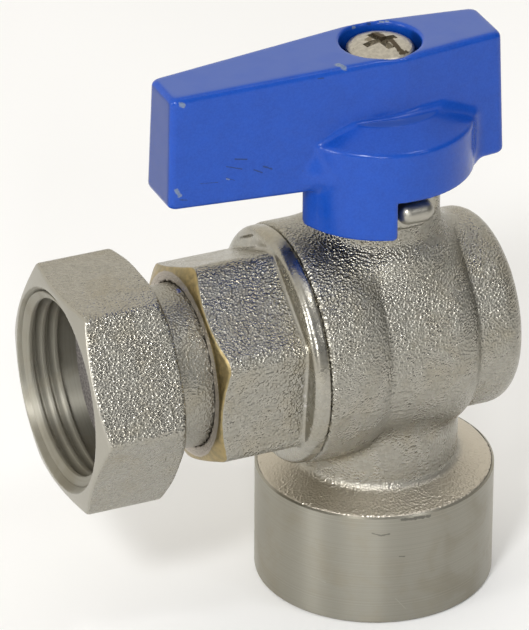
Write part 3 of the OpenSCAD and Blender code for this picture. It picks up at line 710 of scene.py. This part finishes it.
BLEMISHES = [
    ((-16.94, -13.49, 38.98), (-16.94, -13.49, 38.7), 0.22, 0.15),
    ((-16.57, -13.33, 37.28), (-16.57, -13.33, 37.1), 0.20, 0.15),
    ((-16.37, -13.24, 35.65), (-16.37, -13.24, 35.5), 0.20, 0.15),
    ((-16.2, -13.54, 33.77), (-16.2, -13.54, 33.5), 0.22, 0.15),
    ((-16.18, -14.49, 32.73), (-16.18, -14.49, 32.6), 0.18, 0.12),
]
COLLAR_SCRATCHES = [
    ((-13.65, -9.27, 6.16), (-12.21, -11.08, 5.72), 0.07, 0.05),
    ((-3.95, -16.02, 3.94), (-2.55, -16.3, 2.15), 0.06, 0.04),
]
COLLAR_NICKS = [
    ((-7.07, -14.9, 14.45), (-5.94, -15.39, 14.06), 0.13, 0.10),
    ((-5.94, -15.39, 14.06), (-4.9, -15.75, 14.3), 0.15, 0.12),
    ((-3.18, -16.2, 16.4), (0.7, -16.5, 16.2), 0.26, 0.35),
    ((-3.5, -16.1, 10.6), (-2.8, -16.3, 10.5), 0.10, 0.08),
]
SCREW_DIRT = [
    ((0.38, 2.44, 80.75), (0.72, -0.17, 80.75), 0.75, 0.7), ((1.34, -0.44, 80.75), (1.45, -3.25, 80.5), 0.50, 0.35),
    ((2.25, -3.45, 80.3), (1.5, -3.6, 80.3), 0.50, 0.6), ((-3.94, 0.03, 80.3), (-3.94, 0.0, 80.3), 0.14, 0.05),
]
SCREW_RUST = [((-1.34, 0.89, 80.75), (-0.4, 1.4, 80.75), 0.60, 0.6)]
CHIPS = [
    ((-30.3, -2.3, 79.4), (-30.4, -2.7, 79.3), 0.30, 0.20), ((-30.2, -3.5, 79.0), (-29.9, -3.8, 78.8), 0.42, 0.25),
    ((-25.1, -3.7, 79.5), (-24.5, -3.8, 79.5), 0.13, 0.10), ((-8.1, -4.2, 80.5), (-7.6, -5.1, 80.4), 0.50, 0.30),
    ((-6.3, -5.2, 80.4), (-6.1, -5.3, 80.4), 0.16, 0.10), ((-1.6, 5.3, 80.5), (-1.3, 5.4, 80.4), 0.22, 0.12),
    ((2.3, 5.1, 80.7), (2.7, 4.9, 80.7), 0.16, 0.08), ((3.0, 4.8, 80.8), (3.3, 4.6, 80.8), 0.16, 0.08),
    ((-31.0, -4.1, 66.6), (-30.6, -4.1, 65.8), 0.34, 0.30), ((-24.1, -4.6, 67.2), (-23.8, -4.6, 67.1), 0.14, 0.10),
    ((-31.2, -4.1, 71.5), (-31.2, -4.1, 71.1), 0.13, 0.10), ((-4.7, -9.1, 69.6), (-4.2, -9.3, 69.6), 0.12, 0.05),
]
SCRATCHES = [
    ((-22.9, -4.6, 69.9), (-21.3, -4.8, 69.6), 0.13, 0.10), ((-24.1, -4.5, 69.0), (-22.0, -4.7, 68.3), 0.12, 0.10),
    ((-20.3, -4.9, 67.9), (-19.2, -5.0, 67.3), 0.13, 0.10), ((-19.0, -5.0, 68.2), (-17.8, -5.1, 67.6), 0.14, 0.12),
    ((-13.6, -5.6, 66.7), (-12.3, -6.3, 66.1), 0.11, 0.06), ((-27.7, -4.3, 67.1), (-25.3, -4.5, 66.9), 0.07, 0.08),
    ((-24.2, -4.6, 67.4), (-23.0, -4.7, 66.8), 0.06, 0.06), ((-11.4, -5.2, 79.7), (-10.6, -5.3, 79.7), 0.13, 0.06),
    ((0.7, 5.5, 80.6), (0.9, 5.5, 80.5), 0.26, 0.12), ((-30.6, -4.1, 65.2), (-29.6, -4.2, 65.0), 0.11, 0.10),
]


def enamel_blue(name, colour_rgb):
    """Thick glossy enamel with soft unevenness, chips and scratches, painted shade on the ends facing the left and
    pale dust with painted sheen on the top faces.
    """
    m, t, s, place = material(name)
    wave = noise(t, place, 2.5, 4.0, 0.7)
    base = mix(t, ramp(t, wave, 0.3, 0.7), tuple(c * 0.94 for c in colour_rgb), tuple(c * 1.06 for c in colour_rgb))
    fleck = noise(t, place, 0.28, 2.0, 0.6)
    base = mix(t, ramp(t, fleck, 0.35, 0.65, 0.0, 0.32), base, (0.012, 0.085, 0.46))
    normal = add(t, "ShaderNodeSeparateXYZ", {0: t.nodes.new("ShaderNodeNewGeometry").outputs["Normal"]}).outputs
    facing = normal[2]
    # Painted shade: faces turned to the left, the ends of the long arm, are painted darker.
    base = mix(t, ramp(t, normal[0], -0.99, -0.93, 0.85, 0.0), base, (0.003, 0.03, 0.185))
    # Upward faces painted paler: dust together with a painted sheen for the light the top catches.
    dust_and_sheen = calc(t, "MULTIPLY", ramp(t, facing, 0.93, 1.0), ramp(t, noise(t, place, 4.0, 4.0), 0.25, 0.6, 0.75, 1.0))
    base = mix(t, dust_and_sheen, base, (0.04, 0.095, 0.37))
    chip = marks(t, place, CHIPS)
    chipped = mix(t, noise(t, place, 0.3), (0.05, 0.09, 0.13), (0.30, 0.36, 0.42))
    base = mix(t, calc(t, "MULTIPLY", chip, 0.75), base, chipped)
    base = mix(t, calc(t, "MULTIPLY", marks(t, place, SCRATCHES), 0.7), base, (0.004, 0.022, 0.075))
    t.links.new(base, s.inputs["Base Color"])
    t.links.new(ramp(t, noise(t, place, 1.6, 3.0), 0.3, 0.7, 0.18, 0.26), s.inputs["Roughness"])
    s.inputs["Specular IOR Level"].default_value = 0.38
    height = calc(t, "ADD", calc(t, "MULTIPLY", noise(t, place, 0.55, 2.0), 0.35), noise(t, place, 2.2, 1.0))
    bump = add(t, "ShaderNodeBump", {"Height": height, "Strength": 0.25, "Distance": 0.0001})
    t.links.new(bump.outputs[0], s.inputs["Normal"])
    return m


def screw_finish(colour_rgb):
    """The screw: dull plating with old dirt in and beside the drive."""
    t, s, place = plain_finish("Screw Steel", colour_rgb, 1.0, 0.34, 0.5, 0.2)
    patch(t, s, marks(t, place, SCREW_RUST), (0.26, 0.22, 0.16), 0.6)
    patch(t, s, marks(t, place, SCREW_DIRT), (0.115, 0.09, 0.06), 0.7)


def plain_finish(name, colour_rgb, metallic, rough, grain_mm, strength, vary=0.15):
    """A simple finish with fine grain in its colour, roughness and surface."""
    m, t, s, place = material(name)
    grain = noise(t, place, grain_mm, 4.0, 0.6)
    base = mix(t, ramp(t, grain, 0.3, 0.7), tuple(c * (1 - vary) for c in colour_rgb),
               tuple(min(1, c * (1 + vary)) for c in colour_rgb))
    t.links.new(base, s.inputs["Base Color"])
    s.inputs["Metallic"].default_value = metallic
    t.links.new(ramp(t, noise(t, place, 3 * grain_mm, 2.0), 0.3, 0.7, rough * 0.85, min(1.0, rough * 1.15)),
                s.inputs["Roughness"])
    bump = add(t, "ShaderNodeBump", {"Height": grain, "Strength": strength, "Distance": 0.00006})
    t.links.new(bump.outputs[0], s.inputs["Normal"])
    return t, s, place


# ---------------------------------------------------------------- thread by Geometry Nodes

def thread_tree():
    """A helical thread ridge inside a bore, from named sizes."""
    t = bpy.data.node_groups.new("Thread Ridge", "GeometryNodeTree")
    wanted = [("Radius", F, 0.01322), ("Pitch", F, 0.001814), ("Turns", F, 3.0), ("Depth", F, 0.00116),
              ("Root Width", F, 0.0017), ("Crest Width", F, 0.0005), ("Start Turn", F, 0.0),
              ("Place", V, None), ("Turn", V, None)]
    for name, kind, default in wanted:
        made = t.interface.new_socket(name, in_out="INPUT", socket_type=kind)
        if default is not None:
            made.default_value = default
    t.interface.new_socket("Material", in_out="INPUT", socket_type="NodeSocketMaterial")
    t.interface.new_socket("Geometry", in_out="OUTPUT", socket_type="NodeSocketGeometry")
    i = t.nodes.new("NodeGroupInput").outputs
    o = t.nodes.new("NodeGroupOutput").inputs
    steps = add(t, "ShaderNodeMath", {0: i["Turns"], 1: 72.0}, operation="MULTIPLY").outputs[0]
    high = add(t, "ShaderNodeMath", {0: i["Turns"], 1: i["Pitch"]}, operation="MULTIPLY").outputs[0]
    helix = add(t, "GeometryNodeCurveSpiral", {"Resolution": 72, "Rotations": i["Turns"], "Start Radius": i["Radius"],
                                               "End Radius": i["Radius"], "Height": high}).outputs[0]
    helix = add(t, "GeometryNodeResampleCurve", {"Curve": helix, "Count": steps}, mode="COUNT").outputs[0]
    helix = add(t, "GeometryNodeSetCurveNormal", {"Curve": helix}, mode="Z_UP").outputs[0]
    share = t.nodes.new("GeometryNodeSplineParameter").outputs["Factor"]
    ends = add(t, "ShaderNodeMath", {0: share, 1: add(t, "ShaderNodeMath", {0: 1.0, 1: share},
                                                      operation="SUBTRACT").outputs[0]}, operation="MINIMUM")
    turns = add(t, "ShaderNodeMath", {0: ends.outputs[0], 1: i["Turns"]}, operation="MULTIPLY").outputs[0]
    size = add(t, "ShaderNodeMapRange", {"Value": turns, "From Min": 0.0, "From Max": 0.35, "To Min": 0.03,
                                         "To Max": 1.0}, interpolation_type="SMOOTHSTEP").outputs[0]
    ridge = add(t, "GeometryNodeCurvePrimitiveQuadrilateral",
                {"Bottom Width": i["Root Width"], "Top Width": i["Crest Width"], "Height": i["Depth"],
                 "Offset": 0.0}, mode="TRAPEZOID").outputs[0]
    lift = add(t, "ShaderNodeCombineXYZ", {1: add(t, "ShaderNodeMath", {0: i["Depth"], 1: 0.5},
                                                  operation="MULTIPLY").outputs[0]}).outputs[0]
    ridge = add(t, "GeometryNodeTransform", {"Geometry": ridge, "Translation": lift}).outputs[0]
    ridge = add(t, "GeometryNodeTransform", {"Geometry": ridge, "Rotation": (0.0, 0.0, math.radians(-90))}).outputs[0]
    ridge = add(t, "GeometryNodeFilletCurve", {"Curve": ridge, "Count": 3, "Radius": 0.00018},
                mode="POLY").outputs[0]
    solid = add(t, "GeometryNodeCurveToMesh", {"Curve": helix, "Profile Curve": ridge, "Scale": size,
                                               "Fill Caps": True}).outputs[0]
    spin = add(t, "ShaderNodeCombineXYZ", {2: i["Start Turn"]}).outputs[0]
    solid = add(t, "GeometryNodeTransform", {"Geometry": solid, "Rotation": spin}).outputs[0]
    solid = add(t, "GeometryNodeTransform", {"Geometry": solid, "Rotation": i["Turn"],
                                             "Translation": i["Place"]}).outputs[0]
    solid = add(t, "GeometryNodeSetShadeSmooth", {"Geometry": solid}).outputs[0]
    solid = add(t, "GeometryNodeRealizeInstances", {"Geometry": solid}).outputs[0]
    solid = add(t, "GeometryNodeSetMaterial", {"Geometry": solid, "Material": i["Material"]}).outputs[0]
    t.links.new(solid, o["Geometry"])
    return t


def from_tree(name, tree, values, body, mat):
    """Runs a Geometry Nodes tree with named inputs and keeps the result as a plain mesh piece."""
    holder = bpy.data.objects.new(name + "_holder", bpy.data.meshes.new(name + "_holder"))
    bpy.context.scene.collection.objects.link(holder)
    modifier = holder.modifiers.new("Nodes", "NODES")
    modifier.node_group = tree
    sockets = {s.name: s.identifier for s in tree.interface.items_tree if s.in_out == "INPUT"}
    for key, value in values.items():
        modifier[sockets[key]] = value
    modifier[sockets["Material"]] = mat
    bpy.context.view_layer.update()
    graph = bpy.context.evaluated_depsgraph_get()
    mesh = bpy.data.meshes.new_from_object(holder.evaluated_get(graph))
    mesh.name = name
    holder.modifiers.remove(modifier)
    bpy.data.objects.remove(holder)
    if not len(mesh.polygons):
        raise RuntimeError(f"{name} has no faces")
    bm = bmesh.new()
    bm.from_mesh(mesh)
    bmesh.ops.recalc_face_normals(bm, faces=bm.faces)
    bm.to_mesh(mesh)
    bm.free()
    obj = bpy.data.objects.new(name, mesh)
    bpy.context.scene.collection.objects.link(obj)
    if not mesh.materials:
        mesh.materials.append(mat)
    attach(obj, body)
    return obj


# ---------------------------------------------------------------- operators

class VALVE_OT_finishes(bpy.types.Operator):
    """Makes the shader groups and the materials"""
    bl_idname = "valve.finishes"
    bl_label = "Finishes"

    def execute(self, context):
        GROUPS.update(mark=group_mark(), blast=group_blast(), lathe=group_lathe(), stain=group_stain())
        c = context.scene.valve_colours
        body_finish(tuple(c.nickel))
        nut_finish(tuple(c.nickel))
        connector_finish(tuple(c.nickel), tuple(c.brass))
        tail_finish(tuple(v * 0.9 for v in c.nickel))
        nickel_turned("Turned Collar", tuple(c.turned), axis=2, rough=0.38, scratched=COLLAR_SCRATCHES,
                      nicked=COLLAR_NICKS)
        nickel_turned("Turned Bore", tuple(c.turned), axis=0, rough=0.42)
        nickel_turned("Thread Nickel", tuple(v * 1.1 for v in c.turned), axis=0, rough=0.55)
        enamel_blue("Blue Enamel", tuple(c.enamel))
        plain_finish("Bare Brass", tuple(c.brass), 1.0, 0.32, 0.5, 0.15)
        plain_finish("Chrome Ball", (0.62, 0.62, 0.60), 1.0, 0.09, 0.8, 0.03, 0.05)
        plain_finish("White Sealing", tuple(c.seat), 0.0, 0.45, 0.6, 0.1, 0.05)
        plain_finish("Seal Rubber", tuple(c.rubber), 0.0, 0.6, 0.3, 0.2)
        plain_finish("Gasket Fibre", tuple(c.fibre), 0.0, 0.8, 0.35, 0.9, 0.6)
        screw_finish(tuple(c.screw))
        return {"FINISHED"}


class VALVE_OT_body(bpy.types.Operator):
    """Builds the forged body and its turned collar"""
    bl_idname = "valve.body"
    bl_label = "Body"

    def execute(self, context):
        cell = context.scene.valve_sizes.body_cell / MM
        points, faces = surface(forged_body, (-17.1, -17.3, 15.4), (17.1, 17.3, 66.3), cell)
        middle = points[faces].mean(1)
        r_in, r_up = about_inlet(middle), about_stem(middle)
        hidden = ((middle[:, 0] < -13.6) & (r_in < 15.7) & (middle[:, 2] > 22.3)) | ((middle[:, 2] > 65.2) & (r_up < 4.8))
        piece("body_forging", points, faces[~hidden], "valve_body", [bpy.data.materials["Forged Nickel"]],
              ["body"])
        points, faces = merged_copy("body")
        corner = points[np.array(faces)]
        middle = corner.mean(1)
        normal = np.cross(corner[:, 1] - corner[:, 0], corner[:, 2] - corner[:, 0])
        normal /= np.maximum(np.linalg.norm(normal, axis=1), 1e-9)[:, None]
        kept = (middle[:, 2] < 16.81) | (forged_body(middle + 0.25 * normal) < 0)
        faces = np.array(faces)[kept]
        collar = piece("body_collar", points, faces, "valve_body",
                       [bpy.data.materials["Turned Collar"], bpy.data.materials["Turned Bore"]])
        collar.data.shade_smooth()
        tidy_edges(collar, 28)
        inner = middle[kept][:, 2] > 16.81
        collar.data.polygons.foreach_set("material_index", inner.astype(int))
        return {"FINISHED"}


def tidy_edges(obj, degrees):
    """Drops loose points and keeps edges sharper than an angle crisp."""
    bm = bmesh.new()
    bm.from_mesh(obj.data)
    bmesh.ops.delete(bm, geom=[v for v in bm.verts if not v.link_faces], context="VERTS")
    for e in bm.edges:
        if len(e.link_faces) == 2:
            e.smooth = e.calc_face_angle(0.0) < math.radians(degrees)
    bm.to_mesh(obj.data)
    bm.free()


class VALVE_OT_connector(bpy.types.Operator):
    """Builds the end connector and dresses the tailpiece"""
    bl_idname = "valve.connector"
    bl_label = "End Connector"

    def execute(self, context):
        cell = context.scene.valve_sizes.fine_cell / MM
        points, faces = surface(connector_form, (-29.2, -16.9, AXIS_H - 16.9), (-6.6, 16.9, AXIS_H + 16.9), cell)
        piece("end_connector_forging", points, faces, "valve_body", [bpy.data.materials["Connector Nickel"]],
              ["end_connector"])
        dress("tailpiece", bpy.data.materials["Tail Nickel"])
        return {"FINISHED"}


class VALVE_OT_nut(bpy.types.Operator):
    """Builds the swivelling union nut"""
    bl_idname = "valve.nut"
    bl_label = "Union Nut"

    def execute(self, context):
        cell = context.scene.valve_sizes.fine_cell / MM
        points, faces = surface(nut_form, (-47.4, -17.6, AXIS_H - 17.6), (-33.9, 17.6, AXIS_H + 17.6), cell)
        obj = piece("union_nut_forging", points, faces, "swivel_nut",
                    [bpy.data.materials["Nut Nickel"], bpy.data.materials["Thread Nickel"]],
                    ["union_nut"])
        middle = points[faces].mean(1)
        inside = (about_inlet(middle) < 14.05) & (middle[:, 0] < -34.6)
        obj.data.polygons.foreach_set("material_index", inside.astype(int))
        return {"FINISHED"}


class VALVE_OT_threads(bpy.types.Operator):
    """Winds the two inside threads"""
    bl_idname = "valve.threads"
    bl_label = "Threads"

    def execute(self, context):
        s = context.scene.valve_sizes
        tree = thread_tree()
        shared = {"Radius": 0.01325, "Pitch": s.pitch, "Depth": s.crest}
        from_tree("union_nut_thread", tree, {**shared, "Radius": 0.0134, "Depth": s.crest + 0.00015, "Turns": 2.9,
                                             "Place": (-0.04645, 0.0, AXIS_H * MM),
                                             "Turn": (0.0, math.radians(90), 0.0), "Start Turn": 4.17},
                  "swivel_nut", bpy.data.materials["Thread Nickel"])
        from_tree("outlet_thread", tree, {**shared, "Turns": 6.4, "Place": (0.0, 0.0, 0.0009),
                                          "Turn": (0.0, 0.0, 0.0), "Start Turn": 0.0},
                  "valve_body", bpy.data.materials["Turned Collar"])
        return {"FINISHED"}


class VALVE_OT_handle(bpy.types.Operator):
    """Builds the enamelled wing handle"""
    bl_idname = "valve.handle"
    bl_label = "Handle"

    def execute(self, context):
        cell = context.scene.valve_sizes.fine_cell / MM
        points, faces = surface(handle_form, (-32.6, -13.4, AXIS_H + 19.1), (17.0, 13.4, AXIS_H + 43.5), cell * 1.1)
        piece("handle_casting", points, faces, "turning_set", [bpy.data.materials["Blue Enamel"]],
              ["handle"])
        dress("spring_washer", bpy.data.materials["Screw Steel"])
        dress("handle_screw", bpy.data.materials["Screw Steel"])
        return {"FINISHED"}


class VALVE_OT_inner(bpy.types.Operator):
    """Dresses the ball, the seats, the stem and the seals"""
    bl_idname = "valve.inner"
    bl_label = "Inner Parts"

    def execute(self, context):
        m = bpy.data.materials
        dress("ball", m["Chrome Ball"])
        dress("stem", m["Bare Brass"])
        for node in ("inlet_seat", "blind_seat", "stem_washer"):
            dress(node, m["White Sealing"])
        for node in ("connector_ring", "tailpiece_ring", "lower_stem_ring", "upper_stem_ring"):
            dress(node, m["Seal Rubber"])
        dress("union_gasket", m["Gasket Fibre"])
        return {"FINISHED"}


class VALVE_OT_stage(bpy.types.Operator):
    """Sets up the floor, the soft light and the camera"""
    bl_idname = "valve.stage"
    bl_label = "Stage"

    def execute(self, context):
        s = context.scene.valve_stage
        scene = context.scene
        mesh = bpy.data.meshes.new("floor")
        mesh.from_pydata([(-3, -3, 0), (3, -3, 0), (3, 3, 0), (-3, 3, 0)], [], [(0, 1, 2, 3)])
        floor = bpy.data.objects.new("floor", mesh)
        scene.collection.objects.link(floor)
        m, t, shader, place = material("Pale Floor")
        shader.inputs["Base Color"].default_value = (0.93, 0.93, 0.93, 1)
        shader.inputs["Roughness"].default_value = 0.8
        mesh.materials.append(m)
        world = bpy.data.worlds.new("Studio")
        scene.world = world
        world.use_nodes = True
        t = world.node_tree
        t.nodes.clear()
        toward = vec(t, "NORMALIZE", t.nodes.new("ShaderNodeTexCoord").outputs["Generated"])
        behind = vec(t, "DOT_PRODUCT", toward, (-0.05, 0.88, 0.40), out=1)
        strength = ramp(t, behind, -0.35, 0.55, s.front_sky, s.sky)
        right = vec(t, "DOT_PRODUCT", toward, (0.94, -0.30, 0.12), out=1)
        strength = calc(t, "MULTIPLY", strength, ramp(t, right, 0.55, 0.95, 1.0, 0.33))
        tint = mix(t, ramp(t, behind, -0.2, 0.5), (0.95, 0.97, 1.0), (1.0, 0.96, 0.88))
        back = add(t, "ShaderNodeBackground", {"Color": tint, "Strength": strength})
        t.links.new(back.outputs[0], t.nodes.new("ShaderNodeOutputWorld").inputs[0])
        self.lamp(scene, "key_light", s.key_power, (-0.52, -0.55, 0.66), 0.14)
        self.lamp(scene, "front_light", s.front_power, (-0.34, -0.80, 0.36), 0.10)
        self.lamp(scene, "fill_light", s.fill_power, (0.45, -0.75, 0.55), 0.10)
        self.lamp(scene, "top_light", s.top_power, (0.31, -0.36, 0.92), 0.10)
        self.lamp(scene, "side_light", s.side_power, (-0.92, -0.16, 0.26), 0.22)
        self.camera(scene)
        scene.view_settings.view_transform = "Standard"
        return {"FINISHED"}

    def lamp(self, scene, name, power, place, size):
        """A soft square lamp turned to the valve."""
        data = bpy.data.lights.new(name, "AREA")
        data.energy = power
        data.size = size
        lamp = bpy.data.objects.new(name, data)
        lamp.location = place
        aim = Vector((-0.01, 0.0, 0.04)) - Vector(place)
        lamp.rotation_euler = aim.to_track_quat("-Z", "Y").to_euler()
        scene.collection.objects.link(lamp)

    def camera(self, scene):
        """The camera that sees the valve as the photograph does."""
        azimuth, elevation, roll = math.radians(-23.67636), math.radians(29.03694), math.radians(0.21365)
        back = Vector((math.sin(azimuth) * math.cos(elevation), -math.cos(azimuth) * math.cos(elevation),
                       math.sin(elevation)))
        right = Vector((math.cos(azimuth), math.sin(azimuth), 0))
        up = back.cross(right)
        across = right * math.cos(roll) + up * math.sin(roll)
        upward = -right * math.sin(roll) + up * math.cos(roll)
        place = right * -15.190480 + up * 1.005388 + back * 795.3098 + Vector((0, 0, AXIS_H))
        data = bpy.data.cameras.new("photo_camera")
        data.sensor_width = 36.0
        data.lens = 5850.1 * 36.0 / 630
        data.clip_start, data.clip_end = 0.05, 20.0
        camera = bpy.data.objects.new("photo_camera", data)
        matrix = Matrix.Identity(4)
        for row in range(3):
            matrix[row][0], matrix[row][1], matrix[row][2] = across[row], upward[row], back[row]
            matrix[row][3] = place[row] * MM
        camera.matrix_world = matrix
        scene.collection.objects.link(camera)
        scene.camera = camera


class VALVE_PT_panel(bpy.types.Panel):
    """Lists the pieces of the valve and their settings"""
    bl_label = "Angle Ball Valve"
    bl_idname = "VALVE_PT_panel"
    bl_space_type = "VIEW_3D"
    bl_region_type = "UI"
    bl_category = "Valve"

    def draw(self, context):
        for name in ("valve_sizes", "valve_colours", "valve_stage"):
            group = getattr(context.scene, name)
            box = self.layout.box()
            for prop in group.bl_rna.properties:
                if prop.identifier not in ("rna_type", "name"):
                    box.prop(group, prop.identifier)
        for operator in STEPS:
            self.layout.operator(operator.bl_idname)


STEPS = (VALVE_OT_finishes, VALVE_OT_body, VALVE_OT_connector, VALVE_OT_nut, VALVE_OT_threads, VALVE_OT_handle,
         VALVE_OT_inner, VALVE_OT_stage)
CLASSES = (ValveSizes, ValveColours, ValveStage) + STEPS + (VALVE_PT_panel,)


def register():
    """Registers the classes and their settings."""
    for c in CLASSES:
        bpy.utils.register_class(c)
    bpy.types.Scene.valve_sizes = bpy.props.PointerProperty(type=ValveSizes)
    bpy.types.Scene.valve_colours = bpy.props.PointerProperty(type=ValveColours)
    bpy.types.Scene.valve_stage = bpy.props.PointerProperty(type=ValveStage)


def unregister():
    """Takes the classes and their settings away again."""
    del bpy.types.Scene.valve_sizes, bpy.types.Scene.valve_colours, bpy.types.Scene.valve_stage
    for c in reversed(CLASSES):
        bpy.utils.unregister_class(c)


def main():
    """Builds every piece in order."""
    register()
    for name in ("finishes", "body", "connector", "nut", "threads", "handle", "inner", "stage"):
        if getattr(bpy.ops.valve, name)() != {"FINISHED"}:
            raise RuntimeError(f"valve.{name} did not finish")


if __name__ == "__main__":
    main()
